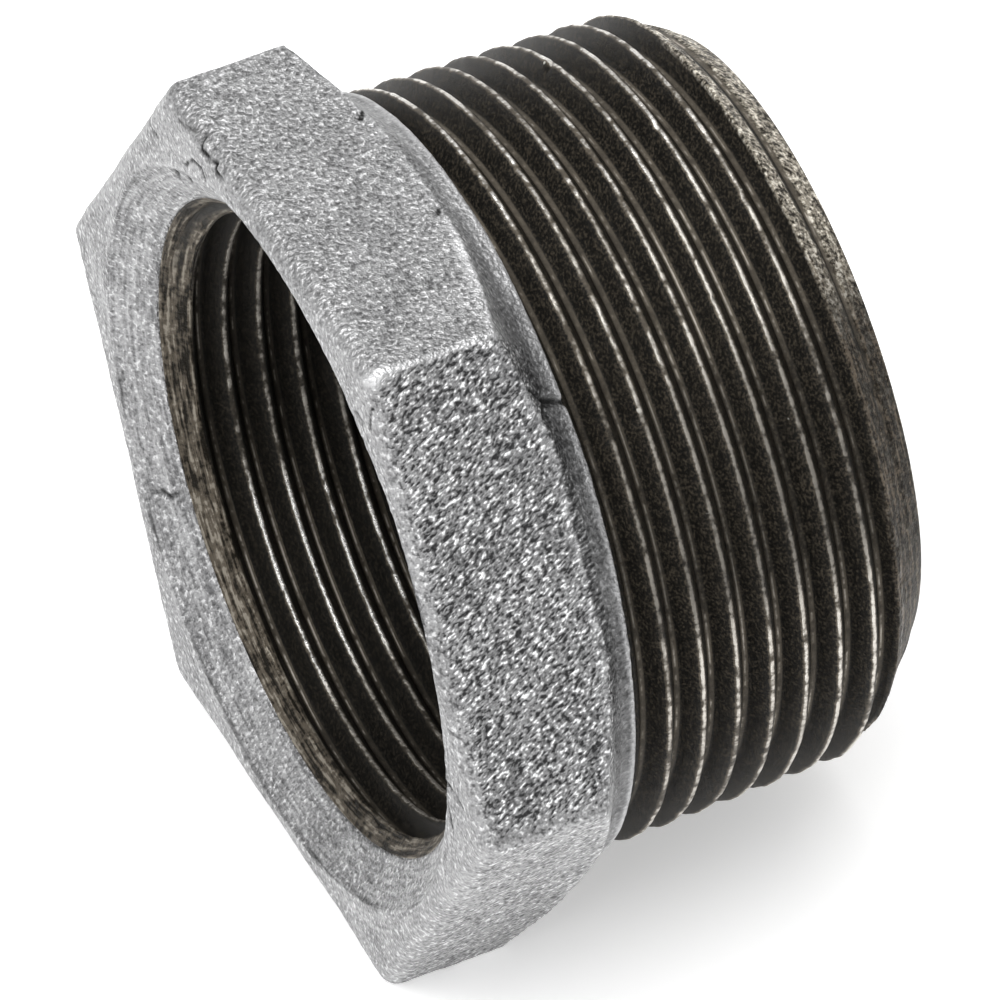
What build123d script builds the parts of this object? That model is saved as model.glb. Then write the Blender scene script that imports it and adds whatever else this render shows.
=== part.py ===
from build123d import *
from build123d.topology import SkipClean
import math
import os

# Hexagon reducing bush for threaded pipe: a male taper thread outside, and a female
# parallel thread inside that opens through the hexagon end. It is one casting.
#
# Millimetres. The bore axis is X. The hexagon face is at x = 0 and looks toward -X,
# and the male spigot ends at the far end. One pair of hexagon flats is level.

# Whitworth pipe thread form, 11 threads per inch
thread_pitch = 25.4 / 11
FORM_HALF_ANGLE = 27.5
FORM_DEPTH_RATIO = 0.640327
FORM_FLAT_RATIO = 1 / 6

# Male taper thread, 1 1/2 inch: its size at the gauge plane
male_gauge_diameter = 47.803
male_gauge_length = 12.7
MALE_TAPER = 1 / 16

# Wall between the male root at the small end and the female root: 1 1/4 inch inside
thread_wall = 1.071

# Lengths along the axis, one after another from the hexagon face
hex_corner_length = 8.2
hex_chamfer_length = 2.2
shoulder_length = 1.9
spigot_length = 20.7

# Hexagon: how far its flats stand above the shoulder, and its rounded edges
flat_height = 0.94
hex_corner_radius = 2.0
hex_rim_radius = 1.2

# Dished face round the mouth, and the cone that leads into the female thread
rim_land = 0.6
dish_depth = 2.1
mouth_clearance = 0.05
mouth_cone_length = 1.5

# Shoulder ring and the relief that the male thread runs out into
shoulder_step = 0.25
relief_depth = 1.0
relief_length = 1.6

# Ends of the bore and of the spigot
plain_bore_length = 9.0
spigot_cone_length = 3.2
spigot_end_wall = 1.5
bore_exit_chamfer = 0.5

# Cutters start or end this far outside the surfaces they open
CUT_MARGIN = 0.3
QUARTERS = 4

# Places worked out from the sizes above
hex_flat_end = hex_corner_length + hex_chamfer_length
head_length = hex_flat_end + shoulder_length
overall_length = head_length + spigot_length
thread_depth = FORM_DEPTH_RATIO * thread_pitch
small_end_radius = (male_gauge_diameter - male_gauge_length * MALE_TAPER) / 2
female_major_radius = small_end_radius - thread_depth - thread_wall
bore_radius = female_major_radius - thread_depth
mouth_radius = female_major_radius + mouth_clearance


def male_crest_radius(x):
    """Radius of the male crests at a distance from the hexagon face."""
    return small_end_radius + (overall_length - x) * MALE_TAPER / 2


shoulder_radius = male_crest_radius(head_length) + shoulder_step
hex_half = shoulder_radius + flat_height
hex_corner_reach = (hex_half - hex_corner_radius) / math.cos(math.radians(30)) + hex_corner_radius
dish_radius = hex_half - hex_rim_radius - rim_land
spigot_end_radius = bore_radius + spigot_end_wall
female_thread_end = overall_length - plain_bore_length


def revolve_outline(points, mode, start_angle=0, arc=360):
    """Turn an outline of (x, radius) points about the bore axis."""
    with BuildSketch(Plane.XY.rotated((start_angle, 0, 0)), mode=Mode.PRIVATE) as outline:
        with BuildLine():
            Polyline(*points, close=True)
        make_face()
    revolve(outline.sketch, axis=Axis.X, revolution_arc=arc, mode=mode)


def hexagon():
    """Hexagon with rounded corners and rim, chamfered toward the shoulder by a cone."""
    with BuildSketch(Plane.YZ, mode=Mode.PRIVATE) as outline:
        RegularPolygon(radius=hex_half, side_count=6, major_radius=False)
    extrude(outline.sketch, amount=hex_flat_end)
    fillet(edges().filter_by(Axis.X), radius=hex_corner_radius)
    revolve_outline(
        [
            (0, 0),
            (0, 2 * hex_half),
            (hex_corner_length, 2 * hex_half),
            (hex_corner_length, hex_corner_reach),
            (hex_flat_end, hex_half),
            (hex_flat_end, 0),
        ],
        Mode.INTERSECT,
    )
    fillet(faces().sort_by(Axis.X)[0].edges(), radius=hex_rim_radius)


def spigot():
    """Shoulder ring, run-out relief and coned blank of the male spigot."""
    relief_radius = male_crest_radius(head_length) - relief_depth
    relief_end = head_length + relief_length
    cone_start = overall_length - spigot_cone_length
    revolve_outline(
        [
            (hex_flat_end / 2, 0),
            (hex_flat_end / 2, hex_half - hex_rim_radius),
            (hex_flat_end, hex_half),
            (head_length, shoulder_radius),
            (head_length, relief_radius),
            (relief_end, male_crest_radius(relief_end)),
            (cone_start, male_crest_radius(cone_start)),
            (overall_length, spigot_end_radius),
            (overall_length, 0),
        ],
        Mode.ADD,
    )


def bore():
    """Dished face, lead-in cone, bore at the female crests, and exit chamfer, cut in quarters."""
    cone_end = dish_depth + mouth_cone_length
    chamfer_start = overall_length - bore_exit_chamfer
    outline = [
        (0, 0),
        (0, dish_radius),
        (dish_depth, mouth_radius),
        (cone_end, bore_radius),
        (chamfer_start, bore_radius),
        (overall_length, bore_radius + bore_exit_chamfer),
        (overall_length, 0),
    ]
    arc = 360 / QUARTERS
    for quarter in range(QUARTERS):
        revolve_outline(outline, Mode.SUBTRACT, start_angle=quarter * arc, arc=arc)


def groove_turns(start, length, root_radius_at, outward, taper_angle):
    """Cut a helical groove turn by turn. outward is 1 for a male thread, -1 for a female one."""
    half_root = FORM_FLAT_RATIO * thread_pitch / 2
    reach = thread_depth + CUT_MARGIN
    half_mouth = half_root + reach * math.tan(math.radians(FORM_HALF_ANGLE))
    for turn in range(math.ceil(length / thread_pitch)):
        turn_start = start + turn * thread_pitch
        root_radius = root_radius_at(turn_start)
        with BuildLine(mode=Mode.PRIVATE) as path:
            Helix(
                pitch=thread_pitch,
                height=thread_pitch,
                radius=root_radius,
                center=(turn_start, 0, 0),
                direction=(1, 0, 0),
                cone_angle=-taper_angle,
            )
        first_point = path.line @ 0
        radial = Vector(0, first_point.Y, first_point.Z).normalized()
        around = Vector(1, 0, 0).cross(radial)
        with BuildSketch(Plane(first_point, x_dir=radial, z_dir=around), mode=Mode.PRIVATE) as form:
            with BuildLine():
                Polyline(
                    (0, -half_root),
                    (0, half_root),
                    (outward * reach, half_mouth),
                    (outward * reach, -half_mouth),
                    close=True,
                )
            make_face()
        sweep(form.sketch, path=path.line, is_frenet=True, mode=Mode.SUBTRACT)


def male_thread():
    """Taper thread from the run-out relief to past the spigot end."""
    start = head_length + thread_pitch / 2
    taper_angle = math.degrees(math.atan(MALE_TAPER / 2))
    length = overall_length + thread_pitch / 2 - start
    groove_turns(start, length, lambda x: male_crest_radius(x) - thread_depth, 1, taper_angle)


def female_thread():
    """Parallel thread from outside the mouth to the plain part of the bore."""
    start = dish_depth - thread_pitch / 2
    length = female_thread_end - start
    groove_turns(start, length, lambda x: female_major_radius, -1, 0)


with BuildPart() as hex_bushing:
    hexagon()
    spigot()
    male_thread()
    # The bore's quarters stay apart, so each crest land is a face of a quarter turn
    with SkipClean():
        bore()
        female_thread()

hex_bushing.part.label = "hex_bushing"
os.makedirs("parts", exist_ok=True)
export_step(hex_bushing.part, "parts/hex_bushing.step")
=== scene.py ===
"""Galvanised hexagon reducing bush: a zinc-skinned head, and two pipe threads cut bare."""

import math

import bpy
import numpy as np
from bpy.props import FloatProperty, FloatVectorProperty, PointerProperty
from bpy.types import Operator, Panel, PropertyGroup
from mathutils import Matrix, Vector


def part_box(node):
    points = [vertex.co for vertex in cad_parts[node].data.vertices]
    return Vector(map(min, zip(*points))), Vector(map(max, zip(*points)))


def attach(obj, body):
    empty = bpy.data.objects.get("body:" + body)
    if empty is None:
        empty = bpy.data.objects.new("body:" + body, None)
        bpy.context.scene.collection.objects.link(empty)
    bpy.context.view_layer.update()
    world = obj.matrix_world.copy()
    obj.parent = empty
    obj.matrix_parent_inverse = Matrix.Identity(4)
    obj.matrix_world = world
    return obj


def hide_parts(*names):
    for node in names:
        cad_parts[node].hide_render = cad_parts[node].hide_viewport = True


bl_info = {
    "name": "Hexagon reducing bush",
    "version": (1, 0, 0),
    "blender": (4, 5, 0),
    "location": "3D View > Sidebar > Bush",
    "description": "Builds a galvanised hexagon reducing bush around its packed CAD part",
    "category": "Add Mesh",
}

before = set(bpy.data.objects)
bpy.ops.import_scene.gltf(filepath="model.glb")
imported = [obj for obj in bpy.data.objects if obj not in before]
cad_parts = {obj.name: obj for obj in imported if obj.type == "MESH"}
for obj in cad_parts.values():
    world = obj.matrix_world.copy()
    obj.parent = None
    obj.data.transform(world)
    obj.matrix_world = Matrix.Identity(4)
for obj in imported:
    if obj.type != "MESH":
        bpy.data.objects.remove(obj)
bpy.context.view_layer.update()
NODE = "hex_bushing"
LOW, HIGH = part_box(NODE)
MM = 0.001

# Turning: how finely each piece goes round the bore axis, and the head's points on the way
HEAD_STEPS = 800
HEAD_ROWS = 100
MALE_STEPS = 520
FEMALE_STEPS = 400

# Vertices closer than this are one vertex, in metres
MERGE = 1e-6

# Hexagon flats, counted from +Y toward +Z: middle angle in degrees, and how far out of true in mm
FLATS = (
    (29.8, 0.40),
    (88.6, -0.25),
    (146.8, -0.84),
    (209.5, 0.10),
    (270.0, 0.0),
    (330.0, 0.0),
)
CORNER_SHARPNESS = 7.0
CORNER_RADIUS = 2.0

# The head's skin is laid out in this many points, then rounded over this many mm
FINE_POINTS = 600
CASTING_BLUR = 0.15

# The small step round the dish: its depth, and half its width
DISH_STEP = 0.20
DISH_STEP_HALF = 0.06

# Hidden walls inside the casting stand this far outside the mouth
HEAD_WALL = 0.3
FEMALE_WALL = 0.7

# Thread form: lean of the flanks, rounding in pitches, and the male thread's taper
FLANK_LEAN = math.radians(27.5)
ROUNDING_RATIO = 0.137329
MALE_TAPER = 1 / 16

# Where each thread's groove crosses the top of the bush
MALE_GROOVE_X = 12.95
FEMALE_GROOVE_X = 0.615

# Points of one pitch of thread, closest together where the form is rounded
MALE_SAMPLES = (
    (0, 0.06, 0.115, 0.18, 0.25, 0.32, 0.385, 0.445, 0.5)
    + (0.555, 0.615, 0.68, 0.75, 0.82, 0.885, 0.94, 1)
)
FEMALE_SAMPLES = (0, 0.07, 0.13, 0.21, 0.30, 0.38, 0.44, 0.5, 0.56, 0.62, 0.70, 0.79, 0.87, 0.93, 1)

# How far before its end the female thread starts to run out
FEMALE_FADE = 2.6

# The cone on the spigot end: radius at the end, and the side where it is cut deeper
END_RADIUS = 21.5
END_DEEPER = 2.2
END_DEEP_SIDE = 220.0

# Share of the groove's depth that is filled where it crosses that cone
END_FILL = 0.60

# Marks left by casting and handling: runs of (x, radius, angle) points, half width and depth
SCARS = (
    (
        (
            *((0.34, 23.1, 324.1), (0.8, 22.5, 324.4), (1.2, 22.1, 323.2)),
            *((1.7, 21.4, 324.0), (1.9, 21.2, 323.7)),
        ),
        0.21,
        0.22,
    ),
    (
        (
            *((0.0, 27.2, 60.8), (0.0, 27.0, 63.0), (0.0, 26.9, 66.9)),
            *((0.0, 26.1, 67.2), (0.0, 25.8, 71.0)),
        ),
        0.17,
        0.16,
    ),
    (((0.0, 25.8, 71.0), (0.0, 25.3, 71.3), (0.0, 25.2, 73.1)), 0.16, 0.14),
    (((0.0, 24.2, 59.4), (0.0, 24.8, 62.8), (0.0, 24.7, 66.0), (0.0, 24.1, 66.8)), 0.16, 0.14),
    (((0.2, 23.3, 51.8), (0.8, 22.5, 47.5), (1.5, 21.6, 45.3)), 0.18, 0.20),
    (((0.5, 22.9, 55.0), (1.1, 22.2, 51.5)), 0.14, 0.10),
    (((0.0, 26.0, 49.0), (0.0, 25.4, 50.4)), 0.15, 0.12),
    (((0.0, 23.8, 177.1), (0.0, 24.9, 177.4), (0.0, 26.0, 177.9)), 0.15, 0.24),
    (((0.0, 24.9, 166.2), (0.0, 25.9, 166.5)), 0.14, 0.16),
    (((0.0, 23.7, 180.7), (0.0, 24.2, 183.0), (0.0, 24.6, 184.9)), 0.12, 0.10),
    (((0.0, 26.9, 119.6), (0.0, 25.6, 121.4)), 0.16, 0.12),
    (((0.0, 24.3, 118.0), (0.0, 24.9, 120.2)), 0.20, 0.14),
    (((10.3, 25.4, 93.2), (10.0, 25.4, 94.3)), 0.20, 0.28),
    (((9.4, 26.5, 73.0), (9.8, 26.6, 72.0)), 0.18, 0.20),
    (((10.6, 25.2, 196.0), (11.3, 24.6, 195.0)), 0.18, 0.30),
    (((10.9, 24.6, 125.0), (11.5, 24.6, 125.6), (12.3, 24.5, 126.2)), 0.22, 0.40),
    (((10.3, 24.8, 127.5), (10.9, 24.8, 125.6)), 0.18, 0.20),
    (((10.0, 24.8, 123.6), (10.5, 24.8, 124.4)), 0.16, 0.16),
)

# Nicks and rolled burrs on the male crests: (x, angle, size in mm)
BURRS = (
    (22.9, 64.6, 0.34),
    (16.3, 87.5, 0.36),
    (21.0, 98.6, 0.40),
    (25.6, 87.6, 0.32),
    (28.1, 104.7, 0.34),
    (13.5, 126.4, 0.34),
    (16.6, 130.8, 0.38),
    (14.3, 132.0, 0.26),
    (18.9, 148.0, 0.26),
    (20.8, 171.0, 0.28),
    (23.6, 118.0, 0.26),
    (25.5, 139.0, 0.26),
    (15.9, 160.0, 0.24),
    (27.7, 20.0, 0.34),
    (18.7, 250.0, 0.34),
    (23.4, 300.0, 0.32),
    (20.9, 335.0, 0.30),
)

# A bead of zinc on the ridge between two flats, as a run of points, and its half width
ZINC_BEAD = ((0.4, 28.2, 116.8), (1.4, 28.6, 116.4))
ZINC_BEAD_HALF = 0.55

# The coarse grain runs slantwise over the flat round 150 degrees: along the axis and up the flat
GRAIN_WAY = Vector((0.90, 0.22, 0.38)).normalized()
GRAIN_SIDE = Vector((0, math.cos(math.radians(150)), math.sin(math.radians(150))))
GRAIN_TURN = tuple(Matrix((GRAIN_WAY, GRAIN_SIDE.cross(GRAIN_WAY), GRAIN_SIDE)).to_euler())

# Camera: where it aims in metres, the way it looks in degrees, how far off, sideways move in mm
CAMERA_AIM = Vector((0.0155, 0.0, 0.0))
CAMERA_AZIMUTH = -25.8
CAMERA_ELEVATION = 45.8
CAMERA_DISTANCE = 1.5
CAMERA_MOVE = (0.45, 2.45)
CAMERA_LENS = 895.05

# Soft lights: name, place and aim in metres, width, height, watts
LIGHTS = (
    ("overhead", (-0.25, -0.10, 0.85), (0.015, 0, 0), 0.9, 0.9, 10.3),
    ("front", (-0.80, -0.35, 0.35), (0.005, 0, 0), 0.6, 0.6, 0.7),
    ("back", (0.35, 0.75, 0.50), (0.015, 0, 0), 0.5, 0.4, 1.2),
)
SKY_STRENGTH = 0.41

# Floor: side in metres, gap under the bush in metres, and its own faint glow
FLOOR_SIDE = 40.0
FLOOR_GAP = 0.00012
FLOOR_GLOW = 0.40


def length(name, description, millimetres):
    """A size property, kept in metres."""
    return FloatProperty(
        name=name,
        description=description,
        default=millimetres * MM,
        min=0.0,
        precision=5,
        unit="LENGTH",
        subtype="DISTANCE",
    )


def colour(name, description, value):
    """A colour property."""
    return FloatVectorProperty(
        name=name, description=description, default=value, min=0.0, max=1.0, size=3, subtype="COLOR"
    )


class BushSizes(PropertyGroup):
    """Sizes of the bush that its pieces share."""

    overall: length("Overall length", "From the hexagon face to the spigot end", HIGH.x / MM)
    hex_half: length("Hexagon half", "From the bore axis to a flat", HIGH.z / MM)
    rim: length("Rim rounding", "Radius between the hexagon face and its flats", 1.2)
    corner_end: length("Corner length", "Length of the hexagon's corners", 8.2)
    flat_end: length("Flat length", "Length of the hexagon's flats", 10.4)
    head_end: length("Head length", "From the hexagon face to the shoulder", 12.3)
    shoulder: length("Shoulder radius", "Radius of the ring beside the male thread", 24.42)
    dish: length("Dish radius", "Outer radius of the dished face", 23.54)
    dish_depth: length("Dish depth", "Depth of the dished face at the mouth", 2.1)
    mouth: length("Mouth radius", "Radius where the dish meets the mouth cone", 20.92)
    mouth_cone: length("Mouth cone length", "Length of the cone that leads into the bore", 1.5)
    bore: length("Bore radius", "Radius of the bore and of the female crests", 19.4765)
    pitch: length("Pitch", "Distance between crests, eleven to the inch", 25.4 / 11)
    depth: length("Thread depth", "From root to crest", 1.4786)
    small_end: length("Small end radius", "Radius of the male crests at the spigot end", 23.5046)
    relief: length("Relief depth", "How far the run-out relief cuts below the crests", 1.0)
    relief_run: length("Relief length", "Length over which the relief rises to the crests", 1.6)
    end_cone: length("End cone length", "Length of the cone on the spigot end", 3.2)
    bore_chamfer: length("Bore chamfer", "Chamfer where the bore leaves the spigot", 0.5)
    female_end: length("Female thread end", "Where the female thread has run out", 24.0)


class BushColours(PropertyGroup):
    """Colours of the bush and of what it stands on."""

    zinc: colour("Zinc", "The galvanised skin of the hexagon", (0.60, 0.60, 0.605))
    # The dark end of the tone, reached through random grain and through painted shade on the side
    # flat, the back cone and the face
    zinc_dark: colour("Dull zinc", "The zinc where it lies low and dull", (0.13, 0.13, 0.132))
    # Painted shade in the pits between the grains
    zinc_pit: colour("Zinc pits", "The pits between the coarse grains", (0.02, 0.02, 0.021))
    zinc_glint: colour("Zinc glints", "The tops of the coarse grains", (0.95, 0.95, 0.96))
    # Edge wear and painted highlight along the ridges, the back cone's edge and the zinc bead
    zinc_ridge: colour("Zinc ridges", "Zinc that is rubbed bright at the edges", (0.97, 0.97, 0.98))
    # Painted shade on the back cone and the shoulder ring, strongest on the side away from the
    # light
    stain: colour("Stain", "Dirt on the back cone and the shoulder ring", (0.022, 0.022, 0.022))
    # Painted shade in the scars, the cracks and the crease round the dish step
    scar: colour("Scars", "The bottoms of the scars and cracks", (0.02, 0.02, 0.02))
    flank: colour("Oiled flank", "The cut thread's flanks under oil", (0.006, 0.0055, 0.0045))
    flank_worn: colour("Thin oil", "The flanks where the oil is thin", (0.055, 0.046, 0.034))
    # The rubbed, root and crest colours are worn metal and also painted highlight, scaled by the
    # painted light round the bush
    rubbed: colour("Rubbed edge", "Crests and roots beside the bare metal", (0.19, 0.163, 0.127))
    root: colour("Worn root", "Bare metal along the roots", (0.55, 0.51, 0.45))
    crest: colour("Worn crest", "Bare metal along the crests", (0.62, 0.585, 0.53))
    # Painted highlight on the crests where the painted light is strongest
    crest_highlight: colour("Bright crest", "The crests that are worn most", (0.98, 0.96, 0.92))
    burr: colour("Burr", "Rolled metal on the male crests", (0.55, 0.53, 0.48))
    torn_low: colour("Torn cone, low", "Pits in the spigot's end cone", (0.030, 0.025, 0.019))
    torn: colour("Torn cone", "The spigot's rough end cone", (0.36, 0.325, 0.265))
    torn_high: colour("Torn cone, high", "Tips on the spigot's end cone", (0.90, 0.85, 0.75))
    turned_low: colour("Turned cone, low", "Grooves in the mouth's cone", (0.014, 0.012, 0.009))
    turned: colour("Turned cone", "The mouth's turned cone", (0.10, 0.085, 0.066))
    turned_high: colour("Turned cone, high", "Ridges on the mouth's cone", (0.26, 0.235, 0.195))
    # Painted shade: darker, streaked copies of the end cone's colour
    shaded_band: colour("Oily cone, low", "Grooves of the end cone under oil", (0.010, 0.008, 0.006))
    shaded_band_high: colour("Oily cone, high", "Ridges of the end cone under oil", (0.135, 0.108, 0.080))
    floor: colour("Floor", "The pale studio floor", (0.90, 0.90, 0.90))


def size(name):
    """One of the bush's sizes, in millimetres."""
    return getattr(bpy.context.scene.bush_sizes, name) / MM


def tint(name):
    """One of the bush's colours."""
    return tuple(getattr(bpy.context.scene.bush_colours, name))


# --- Mesh making ---------------------------------------------------------------------------


def clear_selection():
    """Leave nothing selected."""
    bpy.ops.object.select_all(action="DESELECT")


def outline(name, points, closed):
    """A line of (x, radius) points in millimetres, drawn by extruding one vertex along it."""
    clear_selection()
    bpy.ops.mesh.primitive_plane_add(size=MM)
    piece = bpy.context.active_object
    piece.name = piece.data.name = name
    bpy.ops.object.mode_set(mode="EDIT")
    bpy.ops.mesh.select_all(action="SELECT")
    bpy.ops.mesh.merge(type="CENTER")
    bpy.ops.transform.translate(value=(points[0][0] * MM, points[0][1] * MM, 0))
    for here, there in zip(points, points[1:]):
        step = ((there[0] - here[0]) * MM, (there[1] - here[1]) * MM, 0)
        bpy.ops.mesh.extrude_vertices_move(TRANSFORM_OT_translate={"value": step})
    bpy.ops.object.mode_set(mode="OBJECT")
    if closed:
        last = len(piece.data.vertices) - 1
        for vertex in piece.data.vertices:
            vertex.select = vertex.index in (0, last)
        bpy.ops.object.mode_set(mode="EDIT")
        bpy.ops.mesh.edge_face_add()
        bpy.ops.object.mode_set(mode="OBJECT")
    return piece


def turn_round(piece, advance, turns, steps):
    """Carry an outline round the bore axis, moving it along by advance millimetres each turn."""
    screw = piece.modifiers.new("turns", "SCREW")
    screw.axis = "X"
    screw.angle = 2 * math.pi
    screw.screw_offset = advance * MM
    screw.iterations = turns
    screw.steps = screw.render_steps = steps
    bpy.ops.object.modifier_apply(modifier=screw.name)
    bpy.ops.object.mode_set(mode="EDIT")
    bpy.ops.mesh.select_all(action="SELECT")
    bpy.ops.mesh.remove_doubles(threshold=MERGE)
    bpy.ops.object.mode_set(mode="OBJECT")


def places(piece):
    """The piece's vertices, in millimetres."""
    co = np.empty(len(piece.data.vertices) * 3, np.float32)
    piece.data.vertices.foreach_get("co", co)
    return co.reshape(-1, 3).astype(np.float64) / MM


def move_to(piece, co):
    """Put the piece's vertices at these places, in millimetres."""
    piece.data.vertices.foreach_set("co", (co * MM).astype(np.float32).ravel())
    piece.data.update()


def normals(piece):
    """The piece's vertex normals."""
    out = np.empty(len(piece.data.vertices) * 3, np.float32)
    piece.data.vertices.foreach_get("normal", out)
    return out.reshape(-1, 3).astype(np.float64)


def around(co):
    """(x, radius, angle from +Y toward +Z in degrees) of places."""
    return co[:, 0], np.hypot(co[:, 1], co[:, 2]), np.degrees(np.arctan2(co[:, 2], co[:, 1])) % 360


def polar(x, radius, angle):
    """Places from x, radius and angle in degrees."""
    turn = np.radians(angle)
    return np.stack([x, radius * np.cos(turn), radius * np.sin(turn)], axis=1)


def lumps(co, span, seed):
    """Smooth unevenness between -1 and 1, with lumps about span millimetres across."""
    cell = co / span
    base = np.floor(cell).astype(np.int64)
    part = cell - base
    part = part * part * (3 - 2 * part)
    total = np.zeros(len(co))
    for corner in range(8):
        step = np.array([corner & 1, corner >> 1 & 1, corner >> 2 & 1])
        key = (base + step) @ np.array([73856093, 19349663, 83492791]) + seed * 6700417
        key = ((key ^ (key >> 13)) * 1274126177) & 0x7FFFFFFF
        key = ((key ^ (key >> 15)) * 668265263) & 0x7FFFFFFF
        value = ((key >> 8) & 0xFFFF) / 32767.5 - 1
        total += value * np.prod(np.where(step, part, 1 - part), axis=1)
    return total


def near_run(co, points):
    """Distance of each place from a run of (x, radius, angle) points."""
    run = polar(*(np.array(column, float) for column in zip(*points)))
    best = np.full(len(co), np.inf)
    for start, stop in zip(run, run[1:]):
        line = stop - start
        share = np.clip((co - start) @ line / (line @ line), 0, 1)
        best = np.minimum(best, np.linalg.norm(co - start - share[:, None] * line, axis=1))
    return best


def near_scar(co, points):
    """Distance of each place from a scar, measured across the face that the scar lies on."""
    x, radius, angle = around(co)
    if points[0][0] < size("dish_depth"):
        return near_run(co * (0.2, 1, 1), [(0.2 * along, r, turn) for along, r, turn in points])
    level = points[0][1]
    flattened = [(along, level, turn) for along, r, turn in points]
    return near_run(polar(x, np.full_like(x, level), angle), flattened)


def ramp(value, low, high):
    """Smooth rise from 0 at low to 1 at high."""
    t = np.clip((value - low) / (high - low), 0, 1)
    return t * t * (3 - 2 * t)


def window(angle, middle, inner, outer):
    """1 within inner degrees of a middle angle, falling to 0 at outer."""
    return 1 - ramp(np.abs((angle - middle + 180) % 360 - 180), inner, outer)


def lower_of(a, b, blend):
    """The smaller of two values, rounded where they meet."""
    gap = np.clip(0.5 + 0.5 * (b - a) / blend, 0, 1)
    return b + (a - b) * gap - blend * gap * (1 - gap)


def higher_of(a, b, blend):
    """The larger of two values, rounded where they meet."""
    return -lower_of(-a, -b, blend)


def mark(piece, name, values):
    """Keep a number for each vertex, for the material to read."""
    layer = piece.data.attributes.new(name, "FLOAT", "POINT")
    layer.data.foreach_set("value", np.asarray(values, np.float32))


def tidy(piece):
    """Merge doubled vertices, point the faces outwards and shade them smooth."""
    clear_selection()
    piece.select_set(True)
    bpy.context.view_layer.objects.active = piece
    bpy.ops.object.mode_set(mode="EDIT")
    bpy.ops.mesh.select_all(action="SELECT")
    bpy.ops.mesh.remove_doubles(threshold=MERGE)
    bpy.ops.mesh.normals_make_consistent(inside=False)
    bpy.ops.object.mode_set(mode="OBJECT")
    bpy.ops.object.shade_smooth()


def hand_over(piece, material):
    """Give a finished piece its material and its place in the frame."""
    piece.data.materials.clear()
    piece.data.materials.append(material)
    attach(piece, "root")
    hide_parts(NODE)


# --- Hexagon head --------------------------------------------------------------------------


def flat_reaches(angle):
    """Radius at which each flat's plane is met at an angle in degrees, one row for each flat."""
    rows = []
    for middle, out in FLATS:
        turn = np.radians((angle - middle + 180) % 360 - 180)
        rows.append((size("hex_half") + out) / np.maximum(np.cos(turn), 0.1))
    return np.array(rows)


def hexagon_reach(angle):
    """Radius of the hexagon's sides at an angle in degrees, with its corners rounded."""
    total = np.exp(-CORNER_SHARPNESS * flat_reaches(angle)).sum(axis=0)
    return -np.log(total) / CORNER_SHARPNESS


def head_section(reach):
    """(x, radius, part) points of the head's skin where its side stands at reach.

    The part counts up along the skin: 0 dish, 1 face, 2 rim's end, 3 flat's end, 4 back cone's
    end, 5 to 7 shoulder ring.
    """
    rim, flat_end, corner_end = size("rim"), size("flat_end"), size("corner_end")
    half, shoulder, head_end = size("hex_half"), size("shoulder"), size("head_end")
    corner_reach = (half - CORNER_RADIUS) / math.cos(math.radians(30)) + CORNER_RADIUS
    slope = (flat_end - corner_end) / (corner_reach - half)
    end = min(corner_end + (corner_reach - reach) * slope, flat_end)
    dish, rim_steps = size("dish"), 8
    points = [
        (size("dish_depth"), size("mouth"), 0.0),
        (DISH_STEP, dish - DISH_STEP_HALF, 0.0),
        (0.0, dish + DISH_STEP_HALF, 0.05),
        (0.0, max(reach - rim, dish + 0.2), 1.0),
    ]
    for step in range(1, rim_steps + 1):
        share = step / rim_steps
        turn = math.radians(90 * share)
        points.append((rim - rim * math.cos(turn), reach - rim + rim * math.sin(turn), 1 + share))
    points += [
        (end, reach, 3.0),
        (flat_end + 0.02, min(reach, half), 4.0),
        (head_end - 0.95, shoulder + 0.09, 5.0),
        (head_end - 0.08, shoulder, 6.0),
        (head_end, shoulder - 0.1, 7.0),
        (head_end, shoulder - 1.0, 7.0),
    ]
    return np.array(points)


def head_skin(reach, rows):
    """The head's skin at one angle, as rows points spaced evenly along it."""
    line = head_section(reach)
    run = np.concatenate([[0], np.cumsum(np.hypot(*np.diff(line[:, :2], axis=0).T))])
    fine = np.linspace(0, run[-1], FINE_POINTS)
    dense = np.stack([np.interp(fine, run, line[:, i]) for i in range(3)], axis=1)
    # Round what a casting can't hold sharp, but keep the two ends where they are
    spread = CASTING_BLUR / (run[-1] / (FINE_POINTS - 1))
    kernel = np.hanning(2 * int(spread) + 3)
    kernel /= kernel.sum()
    margin = len(kernel) // 2
    for i in range(2):
        padded = np.pad(dense[:, i], margin, mode="reflect", reflect_type="odd")
        dense[:, i] = np.convolve(padded, kernel, mode="valid")
    pick, counted = np.linspace(0, FINE_POINTS - 1, rows), np.arange(FINE_POINTS)
    return np.stack([np.interp(pick, counted, dense[:, i]) for i in range(3)], axis=1)


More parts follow.
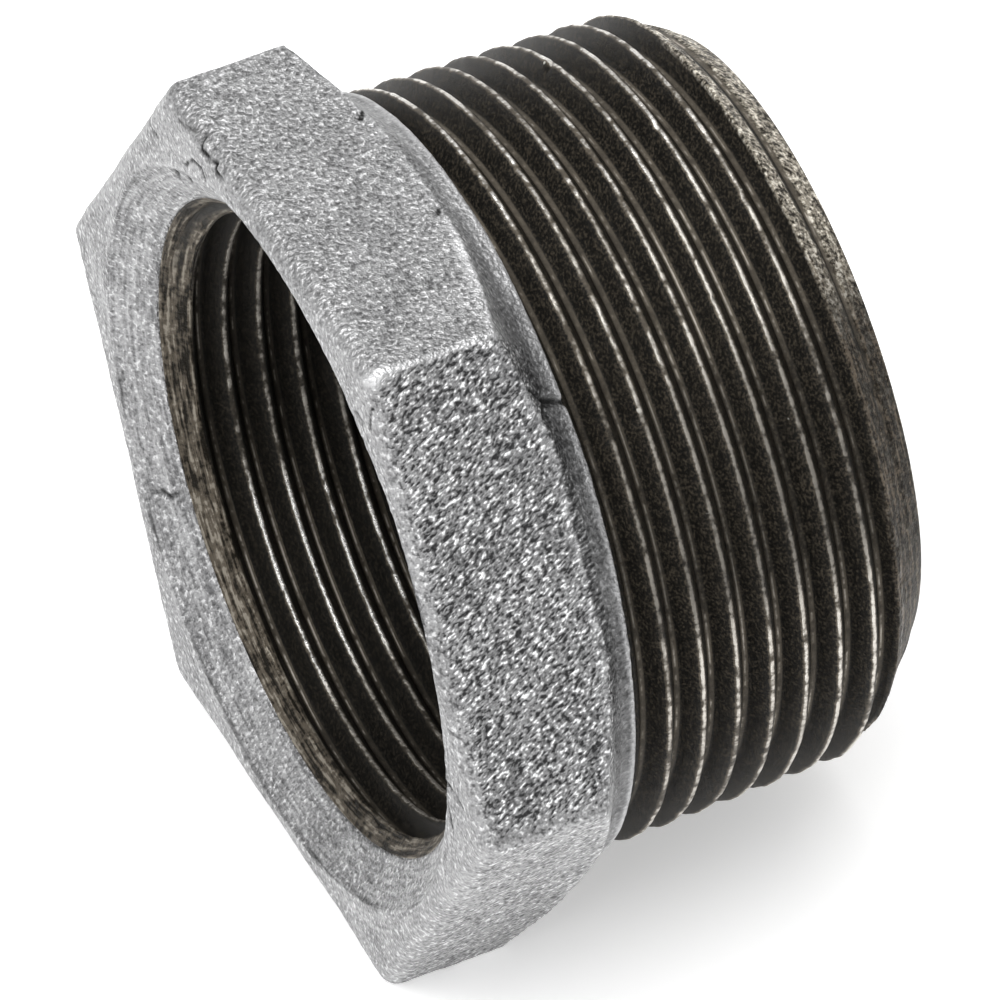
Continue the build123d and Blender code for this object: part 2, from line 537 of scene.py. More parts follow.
def make_head():
    """The hexagon head: dished face, rounded flats, back cone and shoulder ring."""
    top = float(hexagon_reach(np.array([90.0]))[0])
    skin = head_skin(top, HEAD_ROWS)
    wall = size("mouth") + HEAD_WALL
    head_end = size("head_end")
    hidden = [(head_end, 22.4), (head_end - 0.7, 22.2), (head_end - 0.7, wall)]
    hidden += [(8.0, wall), (4.0, wall), (size("dish_depth") + 0.4, wall - 0.02)]
    points = [(x, r) for x, r, _ in skin] + hidden
    head = outline("hexagon_head", points, closed=True)
    turn_round(head, 0.0, 1, HEAD_STEPS)
    tidy(head)

    # Find which point of the outline each vertex came from, then give it its own angle's section
    x, radius, angle = around(places(head))
    ring = np.array(points)
    row = np.empty(len(x), int)
    batch = 20000
    for start in range(0, len(x), batch):
        some = slice(start, start + batch)
        off = (x[some, None] - ring[None, :, 0]) ** 2 + (radius[some, None] - ring[None, :, 1]) ** 2
        row[some] = off.argmin(axis=1)
    column = np.round(angle / 360 * HEAD_STEPS).astype(int) % HEAD_STEPS
    turns = np.arange(HEAD_STEPS) * 360 / HEAD_STEPS
    reach = hexagon_reach(turns)
    skins = np.stack([head_skin(r, HEAD_ROWS) for r in reach])
    part, course = np.full(len(x), 8.0), np.zeros(len(x))
    seen = row < HEAD_ROWS
    own = skins[column[seen], row[seen]]
    x[seen], radius[seen], part[seen] = own[:, 0], own[:, 1], own[:, 2]
    course[seen] = own[:, 1] - own[:, 0]
    co = polar(x, radius, angle)
    move_to(head, co)

    # A casting is never quite true: slow waves, the grain of the sand, then its marks
    coarse, grain = head_grain(part, angle)
    out = normals(head)
    slow = 0.08 * lumps(co, 9.0, 3) + 0.05 * lumps(co, 4.0, 4)
    edge = np.where(seen, np.minimum(1, np.minimum(row, HEAD_ROWS - 1 - row) / 5), 0)
    rough = lumps(co, 0.50, 5) + 0.8 * lumps(co, 0.34, 6) + 0.35 * lumps(co, 1.3, 7)
    # Painted shade on the back cone and shoulder ring: a quarter all round, full round 155 degrees
    # on the side away from the light
    stain = ramp(part, 3.3, 4.4) * (0.25 + 0.75 * window(angle, 155, 25, 62))
    bead = np.exp(-((near_run(co, ZINC_BEAD) / ZINC_BEAD_HALF) ** 2))
    push = slow + grain * rough + 0.14 * bead
    scar = np.zeros(len(co))
    for run, half, deep in SCARS:
        touch = np.exp(-((near_scar(co, run) / half) ** 2)) * (0.8 + 0.5 * lumps(co, 0.5, 8)) * edge
        push -= deep * touch
        scar = np.maximum(scar, touch)
    # Crease round the dish step, darkened as painted shade
    from_step = np.hypot(co[:, 1], co[:, 2]) - size("dish")
    crease = np.exp(-((from_step / 0.13) ** 2)) * seen * (co[:, 0] < 0.6)
    scar = np.maximum(scar, crease * np.clip(0.35 + 0.35 * lumps(co, 2.5, 10), 0, 1))
    co = co + out * (push * edge)[:, None]
    move_to(head, co)
    mark(head, "coarse", coarse)
    mark(head, "part", part)
    mark(head, "course", course)
    mark(head, "scar", np.clip(scar, 0, 1))
    mark(head, "stain", np.clip(stain + 0.12 * lumps(co, 3.0, 9) * stain, 0, 1))
    # Bright ridges and zinc bead: edge wear and painted highlight
    mark(head, "ridge", np.maximum(edge_wear_and_highlight(co, part, angle), 0.95 * bead))
    hand_over(head, zinc_skin())
    return head


def head_grain(part, angle):
    """How coarse the casting is, also how much painted shade the zinc gets, from 0 to 1, and how
    high its grain stands, in millimetres.
    """
    flat = ramp(part, 1.2, 2.2) * (1 - ramp(part, 4.2, 5.0))
    # The side flat round 150 degrees is made coarse, which the material also turns into painted
    # shade
    side = flat * ramp(angle, 116.2, 117.4) * (1 - ramp(angle, 175, 182))
    lower = flat * window(angle, 210, 27, 32)
    coarse = np.clip(0.26 + 0.14 * flat + 0.60 * side + 0.12 * lower, 0, 1)
    back = 0.25 * ramp(part, 3.0, 3.8) * window(angle, 147, 20, 32)
    coarse = coarse * (1 - 0.25 * ramp(part, 4.2, 5.0)) + back
    return coarse, 0.012 + 0.055 * coarse**1.5


def edge_wear_and_highlight(co, part, angle):
    """How near a place is to a ridge between flats or the back cone's edge, from 0 to 1: edge wear
    and painted highlight, strongest round 117 and 105 degrees.
    """
    near = np.sort(flat_reaches(angle), axis=0)
    ridge = (1 - ramp(near[1] - near[0], 0.03, 0.32)) * (0.22 + 0.78 * window(angle, 116.5, 8, 16))
    side = ramp(part, 1.7, 2.0) * (1 - ramp(part, 3.1, 3.4))
    cone = ramp(part, 2.90, 2.995) * (1 - ramp(part, 3.02, 3.12))
    cone = cone * (0.30 + 0.7 * window(angle, 105, 6, 14))
    chipped = 0.55 + 0.75 * lumps(co, 0.8, 12)
    return np.clip(np.maximum(ridge * side, cone) * chipped, 0, 1)


# --- Threads -------------------------------------------------------------------------------


def form_height(phase):
    """Height of the rounded thread form above its root, in millimetres, at a phase of the pitch."""
    pitch, depth = size("pitch"), size("depth")
    rounding = ROUNDING_RATIO * pitch
    across = np.abs((phase + 0.5) % 1 - 0.5) * pitch
    near = rounding * math.cos(FLANK_LEAN)
    far = pitch / 2 - near
    rise = rounding * (1 - math.sin(FLANK_LEAN))
    flank = rise + (across - near) / math.tan(FLANK_LEAN)
    root = rounding - np.sqrt(np.maximum(rounding**2 - np.minimum(across, near) ** 2, 0))
    tip = pitch / 2 - np.maximum(across, far)
    crest = depth - rounding + np.sqrt(np.maximum(rounding**2 - tip**2, 0))
    return np.where(across < near, root, np.where(across > far, crest, flank))


def thread_turns(name, groove_x, first, last, radius, samples, steps):
    """One pitch of thread carried round the bore axis by a screw, from first to last along it."""
    pitch = size("pitch")
    start = groove_x - pitch / 4
    while start + pitch > first:
        start -= pitch
    turns = math.ceil((last - start) / pitch)
    piece = outline(name, [(start + pitch * s, radius) for s in samples], closed=False)
    turn_round(piece, pitch, turns, steps)
    return piece


def cut_ends(piece, first, last):
    """Cut the turns square at both ends."""
    bpy.ops.object.mode_set(mode="EDIT")
    for place, way in ((first, -1), (last, 1)):
        bpy.ops.mesh.select_all(action="SELECT")
        bpy.ops.mesh.bisect(
            plane_co=(place * MM, 0, 0),
            plane_no=(way, 0, 0),
            clear_outer=True,
            threshold=MERGE / 10,
        )
    bpy.ops.object.mode_set(mode="OBJECT")


def select_open_edges():
    """Go into edit mode and select every edge that has a face on one side only."""
    bpy.ops.object.mode_set(mode="EDIT")
    bpy.ops.mesh.select_mode(type="EDGE")
    bpy.ops.mesh.select_all(action="DESELECT")
    bpy.ops.mesh.select_non_manifold(
        extend=False,
        use_wire=False,
        use_boundary=True,
        use_multi_face=False,
        use_non_contiguous=False,
        use_verts=False,
    )


def select_end(piece, place):
    """Select the open edge loop at a place along the axis."""
    select_open_edges()
    bpy.ops.object.mode_set(mode="OBJECT")
    mesh = piece.data
    for edge in mesh.edges:
        if edge.select:
            start, stop = (mesh.vertices[index].co.x for index in edge.vertices)
            edge.select = abs((start + stop) / 2 / MM - place) < 0.01
    picked = {v for e in mesh.edges if e.select for v in e.vertices}
    for vertex in mesh.vertices:
        vertex.select = vertex.index in picked
    bpy.ops.object.mode_set(mode="EDIT")
    bpy.ops.mesh.select_mode(type="EDGE")


def extend_end(piece, place, line):
    """Extrude the open loop at a place through (x, radius) points, making it round on the way."""
    select_end(piece, place)
    here = place
    for along, radius in line:
        step = ((along - here) * MM, 0, 0)
        bpy.ops.mesh.extrude_edges_move(TRANSFORM_OT_translate={"value": step})
        bpy.ops.object.mode_set(mode="OBJECT")
        for vertex in piece.data.vertices:
            if vertex.select:
                grow = radius * MM / math.hypot(vertex.co.y, vertex.co.z)
                vertex.co.y *= grow
                vertex.co.z *= grow
        bpy.ops.object.mode_set(mode="EDIT")
        here = along
    bpy.ops.object.mode_set(mode="OBJECT")


def close_wall(piece):
    """Bridge the two open loops that are left, which closes the piece."""
    select_open_edges()
    bpy.ops.mesh.bridge_edge_loops()
    bpy.ops.mesh.select_mode(type="VERT")
    bpy.ops.object.mode_set(mode="OBJECT")


def thread_phase(x, angle, groove_x):
    """Phase of the pitch, 0 in the groove and 0.5 on the crest."""
    return ((x - groove_x) / size("pitch") - (angle - 90) / 360) % 1


def male_crest(x):
    """Radius of the male crests at a place along the axis."""
    return size("small_end") + (size("overall") - x) * MALE_TAPER / 2


def end_cone(x, angle):
    """Radius of the cone on the spigot end, which is cut deeper on one side."""
    overall, long = size("overall"), size("end_cone")
    swing = 0.5 + 0.5 * np.cos(np.radians(angle - END_DEEP_SIDE))
    inner = END_RADIUS - END_DEEPER * swing**8
    crest = size("small_end") + long * MALE_TAPER / 2
    return inner + (overall - x) * (crest - inner) / long


def make_male_thread():
    """The spigot: taper thread, run-out, coned end and the plain end of the bore."""
    head_end, overall = size("head_end"), size("overall")
    first = head_end - 0.4
    piece = thread_turns(
        "male_thread", MALE_GROOVE_X, first, overall, size("small_end"), MALE_SAMPLES, MALE_STEPS
    )
    x, radius, angle = around(places(piece))
    phase = thread_phase(x, angle, MALE_GROOVE_X)
    crest = male_crest(x)
    flat = polar(x, crest, angle)
    height = form_height(phase)
    worn = height / size("depth")
    wobble = 0.03 * lumps(flat, 7.0, 21) + 0.045 * lumps(flat, 0.9, 22) * ramp(worn, 0.8, 1)
    thread = crest - size("depth") + height + wobble - 0.03
    low, high = crest.min(), crest.max()
    for place, turn, span in BURRS:
        burr = near_run(flat, ((place, low, turn - 0.1), (place, high, turn + 0.1)))
        nick = near_run(flat, ((place, low, turn + 1.2), (place, high, turn + 1.4)))
        thread = thread + ramp(worn, 0.5, 0.9) * span * (
            0.30 * np.exp(-((burr / span) ** 2)) - 0.8 * np.exp(-((nick / span) ** 2))
        )
    climb = size("relief") / size("relief_run")
    relief = male_crest(head_end) - size("relief") + np.maximum(x - head_end, 0) * climb
    torn = 0.05 * lumps(flat, 1.2, 23) + 0.06 * lumps(flat, 0.45, 24)
    cone = end_cone(x, angle) + torn * ramp(overall - x, 0.0, 0.4)
    cut = lower_of(thread, cone, 0.05)
    cut = cone + (cut - cone) * (1 - END_FILL * ramp(x, overall - 2.8, overall - 1.4))
    radius = lower_of(cut, relief, 0.12)
    move_to(piece, polar(x, radius, angle))
    cut_ends(piece, first, overall)
    bore, wall = size("bore"), size("mouth") + HEAD_WALL
    back = size("female_end") + 1.2
    chamfer = size("bore_chamfer")
    line = [
        (overall, bore + chamfer + 0.12),
        (overall, bore + chamfer),
        (overall - chamfer, bore),
        (overall - chamfer - 0.2, bore),
        (back + 3, bore),
        (back, bore),
        (back, wall),
        (first, wall),
    ]
    extend_end(piece, overall, line)
    close_wall(piece)
    tidy(piece)
    co = places(piece)
    x, radius, angle = around(co)
    phase = thread_phase(x, angle, MALE_GROOVE_X)
    outside = ((radius > size("bore") + chamfer + 0.2) & (x < overall - 0.01)).astype(float)
    cone = end_cone(x, angle)
    height = form_height(phase) / size("depth")
    band = ramp(radius - cone, -0.16, -0.09) * outside
    mark(piece, "height", height)
    mark(piece, "phase", phase)
    mark(piece, "band", np.maximum(band, 1 - outside))
    # Painted light on the thread's bright lines: dimmed round 147 degrees on the side away from the
    # light, raised round 70 degrees
    shine = 1 - 0.68 * window(angle, 147, 13, 24) + 0.25 * window(angle, 70, 20, 40)
    mark(piece, "shine", shine + 0.2 * lumps(co, 6.0, 25))
    # Where the end cone keeps its lit colour: painted shade round 168 degrees on the side away from
    # the light, on the end face and in the bore
    plain = np.where(x > overall - 0.01, 0.55, 0.30)
    mark(piece, "clean", np.where(outside > 0.5, 1 - 0.92 * window(angle, 168, 34, 58), plain))
    level = size("small_end")
    flat = polar(x, np.full_like(x, level), angle)
    beads = [
        near_run(flat, ((place, level, turn), (place + 0.01, level, turn))) / (span * 0.38)
        for place, turn, span in BURRS
    ]
    mark(piece, "bead", np.exp(-(np.min(beads, axis=0) ** 2)) * ramp(height, 0.5, 0.8))
    hand_over(piece, cut_iron("cut_iron_outside", inside=False))
    return piece


def make_female_thread():
    """The bore: lead-in cone, parallel thread and its run-out."""
    first, last = size("dish_depth"), size("female_end") + 1.6
    bore, female_end = size("bore"), size("female_end")
    piece = thread_turns(
        "female_thread", FEMALE_GROOVE_X, first, last, bore, FEMALE_SAMPLES, FEMALE_STEPS
    )
    x, radius, angle = around(places(piece))
    phase = thread_phase(x, angle, FEMALE_GROOVE_X)
    flat = polar(x, np.full_like(x, bore), angle)
    height = form_height(phase)
    worn = height / size("depth")
    wobble = 0.02 * lumps(flat, 6.0, 31) + 0.03 * lumps(flat, 1.0, 32) * ramp(worn, 0.75, 1)
    thread = bore + size("depth") - height + wobble
    fade = ramp(x, female_end - FEMALE_FADE, female_end)
    thread = thread + (bore - 0.008 - thread) * fade
    fall = (size("mouth") - bore) / size("mouth_cone")
    torn = 0.05 * lumps(flat, 0.8, 33) + 0.035 * lumps(flat, 0.45, 34)
    cone = size("mouth") - (x - first) * fall + torn * ramp(x - first, 0.0, 0.5)
    radius = higher_of(thread, cone, 0.06)
    radius = cone + (radius - cone) * ramp(x, first + 0.2, first + size("mouth_cone") + 0.4)
    move_to(piece, polar(x, radius, angle))
    cut_ends(piece, first, last)
    wall = size("mouth") + FEMALE_WALL
    line = [(first + 0.15, size("mouth") + 0.12), (first + 0.4, wall), (last, wall)]
    extend_end(piece, first, line)
    close_wall(piece)
    tidy(piece)
    co = places(piece)
    x, radius, angle = around(co)
    phase = thread_phase(x, angle, FEMALE_GROOVE_X)
    height = form_height(phase) / size("depth")
    height = height * (1 - ramp(x, female_end - FEMALE_FADE, female_end))
    cone = size("mouth") - (x - first) * fall
    band = ramp(cone - radius, -0.14, -0.06)
    mark(piece, "height", height)
    mark(piece, "phase", phase)
    mark(piece, "band", np.maximum(band, ramp(x, female_end - 1, female_end)))
    # Painted light on the bore's bright lines, raised round 303 degrees
    mark(piece, "shine", 0.7 + 0.9 * window(angle, 303, 8, 30) + 0.2 * lumps(co, 5.0, 35))
    mark(piece, "clean", np.ones(len(x)))
    mark(piece, "bead", np.zeros(len(x)))
    hand_over(piece, cut_iron("cut_iron_inside", inside=True))
    return piece


# --- Materials -----------------------------------------------------------------------------


class Field:
    """A value that varies over a surface, so that shader maths reads as an expression."""

    def __init__(self, paint, socket):
        self.paint = paint
        self.socket = socket

    def maths(self, operation, first, second):
        """One Math node."""
        return self.paint.add("ShaderNodeMath", {"operation": operation}, {0: first, 1: second})

    def __add__(self, other):
        return self.maths("ADD", self, other)

    def __radd__(self, other):
        return self.maths("ADD", other, self)

    def __sub__(self, other):
        return self.maths("SUBTRACT", self, other)

    def __rsub__(self, other):
        return self.maths("SUBTRACT", other, self)

    def __mul__(self, other):
        return self.maths("MULTIPLY", self, other)

    def __rmul__(self, other):
        return self.maths("MULTIPLY", other, self)


class Paint:
    """A material and the nodes that make it."""

    def __init__(self, name):
        self.material = bpy.data.materials.new(name)
        self.material.use_nodes = True
        self.tree = self.material.node_tree
        self.shader = next(n for n in self.tree.nodes if n.type == "BSDF_PRINCIPLED")

    def plug(self, sockets, key, value):
        """Set a socket's number or colour, or link a field to it."""
        if isinstance(value, Field):
            self.tree.links.new(value.socket, sockets[key])
        else:
            sockets[key].default_value = value

    def add(self, kind, settings, inputs, output=0):
        """A node: its settings first, then the values or links of its sockets."""
        node = self.tree.nodes.new(kind)
        for key, value in settings.items():
            setattr(node, key, value)
        for key, value in inputs.items():
            self.plug(node.inputs, key, value)
        return Field(self, node.outputs[output])

    def attribute(self, name):
        """A number kept on the piece's vertices."""
        settings = {"attribute_type": "GEOMETRY", "attribute_name": name}
        return self.add("ShaderNodeAttribute", settings, {}, 2)

    def object_place(self):
        """Object coordinates."""
        return self.add("ShaderNodeTexCoord", {}, {}, 3)

    def stretch(self, vector, scale):
        """Coordinates scaled along each axis."""
        return self.add("ShaderNodeMapping", {}, {"Vector": vector, "Scale": scale})

    def turned(self, vector, rotation):
        """Coordinates turned about the origin."""
        return self.add("ShaderNodeMapping", {}, {"Vector": vector, "Rotation": rotation})

    def noise(self, vector, scale, detail=2.0, roughness=0.5, w=None):
        """Smooth noise, near 0.5 on average. It also varies along w if there is one."""
        inputs = {"Vector": vector, "Scale": scale, "Detail": detail, "Roughness": roughness}
        if w is None:
            return self.add("ShaderNodeTexNoise", {"noise_dimensions": "3D"}, inputs)
        inputs["W"] = w
        return self.add("ShaderNodeTexNoise", {"noise_dimensions": "4D"}, inputs)

    def between(self, value, low, high, to_low=0.0, to_high=1.0):
        """Smooth rise of a value between two limits."""
        inputs = {"Value": value, "From Min": low, "From Max": high}
        inputs.update({"To Min": to_low, "To Max": to_high})
        settings = {"interpolation_type": "SMOOTHSTEP", "clamp": True}
        return self.add("ShaderNodeMapRange", settings, inputs)

    def blend(self, factor, first, second):
        """A colour between two others."""
        first, second = ((*c, 1) if isinstance(c, tuple) else c for c in (first, second))
        settings = {"data_type": "RGBA", "clamp_factor": True}
        return self.add("ShaderNodeMix", settings, {0: factor, 6: first, 7: second}, 2)

    def bump(self, height, distance, strength=1.0, under=None):
        """Relief, over another relief if there is one."""
        inputs = {"Height": height, "Distance": distance, "Strength": strength}
        if under is not None:
            inputs["Normal"] = under
        return self.add("ShaderNodeBump", {}, inputs)

    def finish(self, **sockets):
        """Set the shader's own sockets."""
        for key, value in sockets.items():
            socket = key.replace("_", " ").title().replace("Ior", "IOR")
            self.plug(self.shader.inputs, socket, value)
        return self.material


def zinc_skin():
    """Hot-dip zinc over sand-cast iron: pale, dull and grainy, with painted shade and painted
    highlights.
    """
    paint = Paint("zinc_skin")
    place = paint.object_place()
    coarse = paint.attribute("coarse")
    part = paint.attribute("part")
    scar = paint.attribute("scar")
    stain = paint.attribute("stain")
    ridge = paint.attribute("ridge")
    drift = paint.stretch(paint.turned(place, GRAIN_TURN), (0.55, 1.0, 1.0))
    slant = paint.between(coarse, 0.55, 0.80)
    even, swept = paint.noise(place, 3700, 1.0, 0.5), paint.noise(drift, 5000, 1.0, 0.5)
    grain = even + (swept - even) * slant
    even, swept = paint.noise(place, 2100, 2.0, 0.6), paint.noise(drift, 3000, 2.0, 0.6)
    sand = even + (swept - even) * slant
    fine = paint.noise(place, 8000, 1.0, 0.5)
    cloud = paint.noise(place, 300, 2.0, 0.5)
    brushed = paint.noise(place, 260, 3.0, 0.6, paint.attribute("course") * 0.010)
    dish = paint.between(part, 1.0, 0.2)
    ring = paint.between(part, 4.2, 5.0)
    # Painted highlight along the lip of the shoulder ring
    lip_highlight = paint.between(part, 5.4, 5.9) * paint.between(part, 6.9, 6.5)
    # The face inside the rim, darkened below as painted shade
    rim = paint.between(part, 1.6, 0.9)
    tone = 0.62 + (grain - 0.5) * (0.5 + 1.9 * coarse) + (sand - 0.5) * (0.5 + 0.8 * coarse)
    tone = tone + (cloud - 0.5) * 0.5 + (fine - 0.5) * 0.5 + dish * (brushed - 0.5) * 1.5
    # Darkening by the coarse share paints shade on the side flat round 150 degrees, the back cone
    # beside it and the flat below; the face inside the rim is darkened as painted shade; the lip
    # gets a painted highlight
    tone = tone - coarse * 0.40 - rim * 0.14 + ring * (brushed - 0.5) * 0.9 + lip_highlight * 0.45
    body = paint.blend(tone, tint("zinc_dark"), tint("zinc"))
    level = grain + (sand - 0.5) * 0.7
    # Painted shade in the pits, strongest where the zinc is coarse
    pits = paint.between(level, 0.42, 0.33) * paint.between(coarse, 0.2, 0.9)
    body = paint.blend(pits * 0.85, body, tint("zinc_pit"))
    glint = paint.between(level, 0.62, 0.72)
    body = paint.blend(glint * (0.15 + 0.75 * coarse), body, tint("zinc_glint"))
    # Edge wear and painted highlight along the ridges and on the zinc bead
    body = paint.blend(ridge * 0.8, body, tint("zinc_ridge"))
    # Painted shade on the back cone and shoulder ring, lighter on the painted highlight of the lip
    body = paint.blend(stain * (0.66 - lip_highlight * 0.35), body, tint("stain"))
    # Painted shade in the scars, the cracks and the crease
    body = paint.blend(paint.between(scar, 0.12, 0.75), body, tint("scar"))
    relief = paint.bump(grain, 0.00020, 1.0)
    relief = paint.bump(sand, 0.00018, 0.7, relief)
    relief = paint.bump(fine, 0.00004, 0.6, relief)
    rough = 0.50 + (fine - 0.5) * 0.25 + ring * 0.06 - dish * 0.04
    return paint.finish(base_color=body, roughness=rough, metallic=0.85, normal=relief)


def cut_iron(name, inside):
    """Bare cut thread under a film of dark oil, worn bright along its crests, with painted
    highlights on crests and roots and painted shade inside the bore.
    """
    paint = Paint(name)
    place = paint.object_place()
    height = paint.attribute("height")
    phase = paint.attribute("phase")
    band = paint.attribute("band")
    around_turn = paint.stretch(place, (0.25, 1.0, 1.0))
    streak = paint.noise(around_turn, 160, 3.0, 0.6, phase * 26)
    speck = paint.noise(place, 5200, 2.0, 0.6)
    chips = paint.noise(place, 1500, 2.0, 0.6)
    patch = paint.noise(place, 420, 2.0, 0.5)
    wear = paint.noise(place, 75, 2.0, 0.5)
    # How strong the painted highlights are round the bush, read from the piece
    shine = paint.attribute("shine")
    film = (streak - 0.5) * 0.6 + (speck - 0.5) * 3.2 + (chips - 0.5) * 0.8 + 0.5
    film = paint.between(film, 0.25, 1.25)
    # Darker flanks inside the bore: painted shade
    flank = paint.blend(film * (0.45 if inside else 1.0), tint("flank"), tint("flank_worn"))
    rubbed = (wear - 0.5) * 0.9 + (patch - 0.5) * 0.7 + (chips - 0.5) * 0.9 + 0.5
    uneven = height + (speck - 0.5) * 0.08 + (chips - 0.5) * 0.07 + (patch - 0.5) * 0.03
    rim = paint.between(uneven, 0.915, 0.99)
    foot = paint.between(uneven, 0.075, 0.010)
    # Broad rubbed bands by the crests and roots: wear and painted highlight, dimmer inside the bore
    # as painted shade
    soft = (rim + foot * 0.8) * paint.between(rubbed, 0.2, 0.8, 0.35, 0.95)
    soft = soft * shine * (0.6 if inside else 1.0)
    body = paint.blend(soft, flank, tint("rubbed"))
    # Bright line along the roots: worn metal and painted highlight
    root = paint.between(height + (patch - 0.5) * 0.012 + (chips - 0.5) * 0.02, 0.016, 0.004)
    root = root * paint.between(rubbed, 0.42, 0.75) * shine
    body = paint.blend(root, body, tint("root"))
    # Bright line along the crests: worn metal and painted highlight
    worn = height + (speck - 0.5) * 0.03 + (chips - 0.5) * 0.05 + (patch - 0.5) * 0.03
    worn = paint.between(worn, 0.975, 0.995) * paint.between(rubbed, 0.28, 0.62) * shine
    # Crests turn from worn metal to a painted highlight where the painted light is strongest
    crest = paint.blend(paint.between(shine, 1.0, 1.5), tint("crest"), tint("crest_highlight"))
    body = paint.blend(worn, body, crest)
    bead = paint.between(paint.attribute("bead") + (chips - 0.5) * 0.5, 0.35, 0.6)
    body = paint.blend(bead, body, tint("burr"))
    turned = paint.noise(paint.stretch(place, (1.0, 0.07, 0.07)), 4600, 2.0, 0.6)
    turned = turned + (paint.noise(place, 2600, 2.0, 0.6) - 0.5) * 0.45
    if inside:
        tear, kind = turned, "turned"
    else:
        tear, kind = paint.noise(place, 3800, 3.0, 0.65) + (chips - 0.5) * 0.5, "torn"
    torn = paint.blend(paint.between(tear, 0.38, 0.54), tint(kind + "_low"), tint(kind))
    torn = paint.blend(paint.between(tear, 0.55, 0.66), torn, tint(kind + "_high"))
    # Painted shade on the end cone: a darker streaked copy of its colour where the lit share is low
    shaded_band = paint.between(turned + (speck - 0.5) * 0.5, 0.45, 0.74)
    shaded_band = paint.blend(shaded_band, tint("shaded_band"), tint("shaded_band_high"))
    torn = paint.blend(paint.attribute("clean"), shaded_band, torn)
    body = paint.blend(band, body, torn)
    metal = paint.between(worn + root + soft * 0.6 + band * 0.6, 0.0, 1.0, 0.1, 1.0)
    rough = 0.46 + (speck - 0.5) * 0.35 - worn * 0.14 + band * 0.08
    relief = paint.bump(streak, 0.00005, 0.5)
    relief = paint.bump(speck, 0.00004, 0.8, relief)
    relief = paint.bump(chips * worn, 0.00012, 0.8, relief)
    relief = paint.bump(tear * band, 0.00013, 0.9, relief)
    return paint.finish(
        base_color=body, roughness=rough, metallic=metal, normal=relief, specular_ior_level=0.15
    )


def pale_floor():
    """Matt white studio floor with the faintest mottle."""
    paint = Paint("studio_floor")
    cloud = paint.noise(paint.object_place(), 3.0, 2.0)
    body = paint.blend(cloud, tint("floor"), tuple(min(1.0, c * 1.02) for c in tint("floor")))
    return paint.finish(
        base_color=body, roughness=0.9, emission_color=(1, 1, 1, 1), emission_strength=FLOOR_GLOW
    )


# --- Stage ---------------------------------------------------------------------------------


def make_camera():
    """The camera, looking down on the hexagon face and one side of the thread."""
    azimuth, elevation = math.radians(CAMERA_AZIMUTH), math.radians(CAMERA_ELEVATION)
    back = Vector(
        (
            math.sin(azimuth) * math.cos(elevation),
            -math.cos(azimuth) * math.cos(elevation),
            math.sin(elevation),
        )
    )
    right = Vector((0, 0, 1)).cross(back).normalized()
    up = back.cross(right)
    bpy.ops.object.camera_add()
    camera = bpy.context.active_object
    camera.name = "camera"
    camera.data.sensor_width = 36.0
    camera.data.lens = CAMERA_LENS
    camera.data.clip_start, camera.data.clip_end = 0.05, 30.0
    place = CAMERA_AIM + CAMERA_DISTANCE * back
    place = place - CAMERA_MOVE[0] * MM * right - CAMERA_MOVE[1] * MM * up
    turn = Matrix((right, up, back)).transposed().to_4x4()
    camera.matrix_world = Matrix.Translation(place) @ turn
    bpy.context.scene.camera = camera


def softbox(name, place, aim, width, height, energy):
    """A large soft light that points at a place."""
    bpy.ops.object.light_add(type="AREA", location=place)
    light = bpy.context.active_object
    light.name = name
    light.data.shape = "RECTANGLE"
    light.data.size, light.data.size_y = width, height
    light.data.energy = energy
    light.rotation_euler = (Vector(aim) - Vector(place)).to_track_quat("-Z", "Y").to_euler()


def make_stage():
    """Pale floor, soft studio light and the camera."""
    clear_selection()
    bpy.ops.mesh.primitive_plane_add(size=FLOOR_SIDE)
    floor = bpy.context.active_object
    floor.name = floor.data.name = "floor"
    bpy.ops.object.mode_set(mode="EDIT")
    bpy.ops.mesh.select_all(action="SELECT")
    bpy.ops.transform.translate(value=(0, 0, LOW.z - FLOOR_GAP))
    bpy.ops.object.mode_set(mode="OBJECT")
    floor.data.materials.append(pale_floor())
    world = bpy.data.worlds.new("studio")
    world.use_nodes = True
    sky = next(n for n in world.node_tree.nodes if n.type == "BACKGROUND")
    sky.inputs["Color"].default_value = (1, 1, 1, 1)
    sky.inputs["Strength"].default_value = SKY_STRENGTH
    bpy.context.scene.world = world
    for light in LIGHTS:
        softbox(*light)
    bpy.context.scene.view_settings.view_transform = "Standard"
    make_camera()


# --- Operators -----------------------------------------------------------------------------


class BUSH_OT_hexagon_head(Operator):
    """Build the hexagon head with its dished face and shoulder ring"""

    bl_idname = "bush.hexagon_head"
    bl_label = "Hexagon head"
    bl_options = {"REGISTER", "UNDO"}

    def execute(self, context):
        make_head()
        return {"FINISHED"}


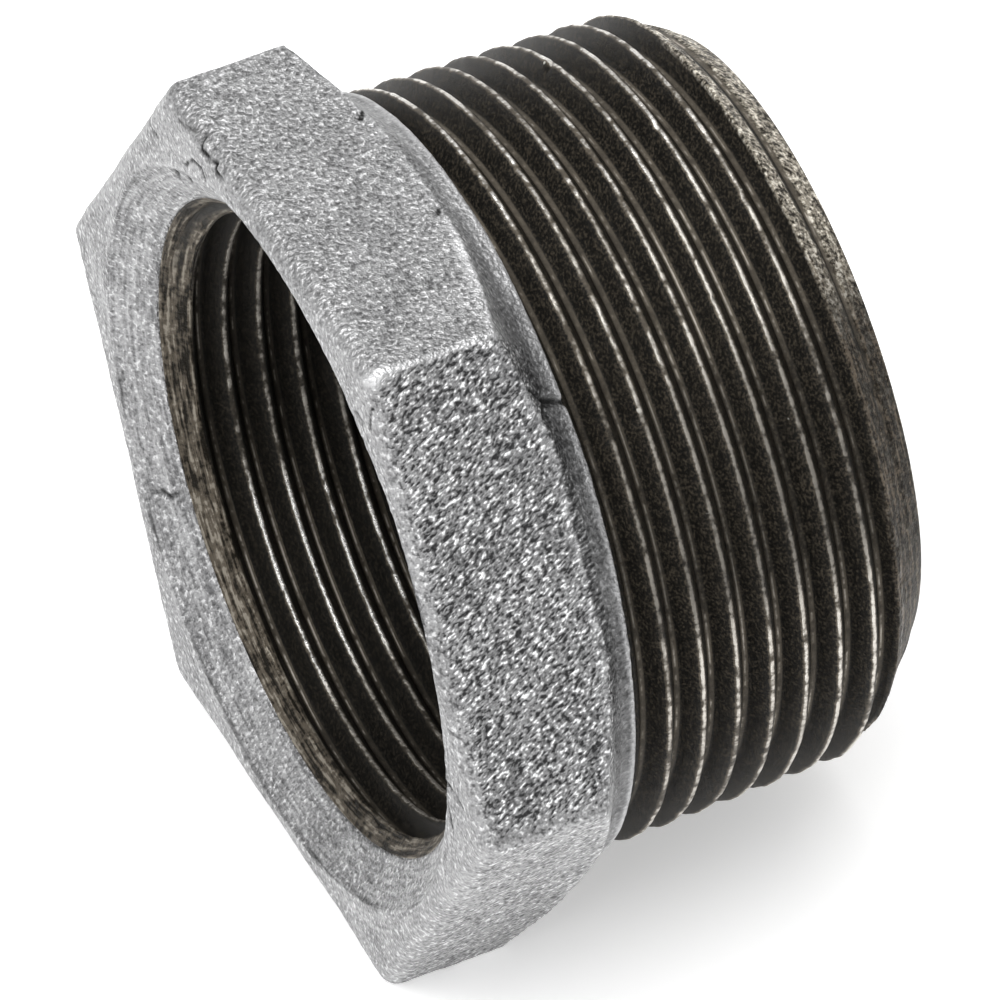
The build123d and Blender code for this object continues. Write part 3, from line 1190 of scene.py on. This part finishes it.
class BUSH_OT_male_thread(Operator):
    """Build the spigot with its male taper thread"""

    bl_idname = "bush.male_thread"
    bl_label = "Male thread"
    bl_options = {"REGISTER", "UNDO"}

    def execute(self, context):
        make_male_thread()
        return {"FINISHED"}


class BUSH_OT_female_thread(Operator):
    """Build the bore with its female parallel thread"""

    bl_idname = "bush.female_thread"
    bl_label = "Female thread"
    bl_options = {"REGISTER", "UNDO"}

    def execute(self, context):
        make_female_thread()
        return {"FINISHED"}


class BUSH_OT_stage(Operator):
    """Set out the floor, the lights and the camera"""

    bl_idname = "bush.stage"
    bl_label = "Stage"
    bl_options = {"REGISTER", "UNDO"}

    def execute(self, context):
        make_stage()
        return {"FINISHED"}


class BUSH_PT_sidebar(Panel):
    """Lists the bush's sizes, colours and operators"""

    bl_idname = "BUSH_PT_sidebar"
    bl_label = "Reducing bush"
    bl_space_type = "VIEW_3D"
    bl_region_type = "UI"
    bl_category = "Bush"

    def draw(self, context):
        for group in (context.scene.bush_sizes, context.scene.bush_colours):
            box = self.layout.box()
            for name in group.bl_rna.properties.keys():
                if name not in ("rna_type", "name"):
                    box.prop(group, name)
        for operator in OPERATORS:
            self.layout.operator(operator.bl_idname)


OPERATORS = (BUSH_OT_hexagon_head, BUSH_OT_male_thread, BUSH_OT_female_thread, BUSH_OT_stage)
CLASSES = (BushSizes, BushColours) + OPERATORS + (BUSH_PT_sidebar,)


def register():
    """Register the classes and keep the sizes and colours on the scene."""
    for each in CLASSES:
        bpy.utils.register_class(each)
    bpy.types.Scene.bush_sizes = PointerProperty(type=BushSizes)
    bpy.types.Scene.bush_colours = PointerProperty(type=BushColours)


def unregister():
    """Take everything off again."""
    del bpy.types.Scene.bush_colours
    del bpy.types.Scene.bush_sizes
    for each in reversed(CLASSES):
        bpy.utils.unregister_class(each)


def main():
    """Build the bush and its stage."""
    register()
    bpy.ops.bush.hexagon_head()
    bpy.ops.bush.male_thread()
    bpy.ops.bush.female_thread()
    bpy.ops.bush.stage()


if __name__ == "__main__":
    main()
